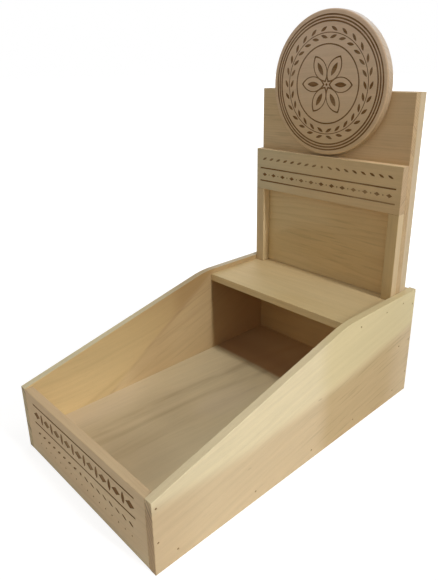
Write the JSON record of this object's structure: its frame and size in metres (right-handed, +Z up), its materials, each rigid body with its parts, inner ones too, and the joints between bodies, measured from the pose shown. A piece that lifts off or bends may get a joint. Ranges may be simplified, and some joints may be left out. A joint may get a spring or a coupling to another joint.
{
  "type": "countertop bin display",
  "caption": "Open wooden countertop bin with sloping sides, a rear shelf and a lift-out framed header that carries a round engraved sign.",
  "frame": {"origin": "middle of the footprint on the counter, at the underside of the floor board", "axes": "+X to the right as seen by a shopper in front, +Y towards the rear where the header stands, +Z up"},
  "size_m": [0.254, 0.432, 0.492],
  "materials": {
    "side_wood": "bare sanded pale softwood",
    "front_wood": "bare sanded softwood with burnt engraving",
    "floor_wood": "bare sanded softwood with figured grain",
    "wall_wood": "bare sanded softwood",
    "shelf_wood": "bare sanded softwood",
    "header_wood": "bare sanded softwood",
    "frame_wood": "bare sanded softwood with burnt engraving",
    "sign_wood": "bare sanded softwood with burnt engraving",
    "brad_steel": "bright steel gone dull, heads set below the wood",
    "screw_steel": "zinc-plated steel, countersunk flush"
  },
  "bodies": {
    "bin": {"left_side": "side_wood", "right_side": "side_wood", "front_panel": "front_wood", "floor_board": "floor_wood", "inner_wall": "wall_wood", "back_panel": "wall_wood", "shelf": "shelf_wood", "front_brads": "brad_steel", "floor_brads": "brad_steel", "shelf_brads": "brad_steel", "wall_brads": "brad_steel", "back_brads": "brad_steel"},
    "header": {"tongue_board": "header_wood", "face_board": "header_wood", "left_stile": "frame_wood", "right_stile": "frame_wood", "rail": "frame_wood", "disc": "sign_wood", "stile_brads": "brad_steel", "rail_brads": "brad_steel", "disc_screws": "screw_steel"}
  },
  "joints": [
    {"name": "header_lift", "type": "slide", "parent": "bin", "child": "header", "axis": [0, 0, 1], "range_m": [0, 0.13]}
  ]
}
